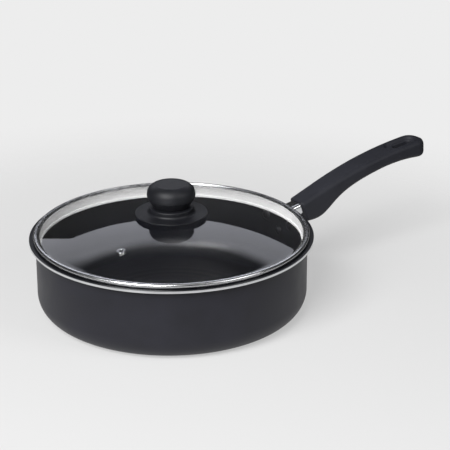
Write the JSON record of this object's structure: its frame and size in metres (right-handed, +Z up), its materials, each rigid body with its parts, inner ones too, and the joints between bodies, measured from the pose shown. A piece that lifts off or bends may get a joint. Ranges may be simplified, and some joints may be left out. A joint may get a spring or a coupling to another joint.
{
  "type": "deep frying pan with glass lid",
  "caption": "Deep round pan with a flared lip, one long arched handle with a hanging slot, and a domed glass lid with a steel rim band, steam vent and round knob.",
  "frame": {"origin": "on the pan's axis at the surface it stands on", "axes": "+X along the handle, away from the pan; +Z up; +Y to the left of someone looking along the handle from the pan"},
  "size_m": [0.449, 0.272, 0.1245],
  "materials": {
    "coated_aluminium": "matte charcoal non-stick coating",
    "coated_rivet": "matte black coating",
    "bracket_steel": "satin",
    "polished_steel": "mirror polished",
    "grip_phenolic": "soft matte black",
    "knob_phenolic": "satin black",
    "tempered_glass": "clear polished",
    "silicone": "matte",
    "fastener_steel": "zinc plated",
    "insert_brass": "machined"
  },
  "bodies": {
    "pan": {"pan_body": "coated_aluminium", "handle_bracket": "bracket_steel", "rivet_left": "coated_rivet", "rivet_right": "coated_rivet", "rivet_lower": "coated_rivet", "flame_guard": "polished_steel", "grip": "grip_phenolic", "grip_screw": "fastener_steel", "grip_washer": "fastener_steel"},
    "lid": {"lid_glass": "tempered_glass", "rim_band": "polished_steel", "vent_eyelet": "polished_steel", "knob_head": "knob_phenolic", "knob_insert": "insert_brass", "knob_base": "knob_phenolic", "upper_gasket": "silicone", "lower_gasket": "silicone", "knob_washer": "fastener_steel", "knob_spring_washer": "fastener_steel", "knob_screw": "fastener_steel"}
  },
  "joints": [
    {"name": "lid_lift", "type": "slide", "parent": "pan", "child": "lid", "axis": [0, 0, 1], "range_m": [0, 0.12]}
  ]
}
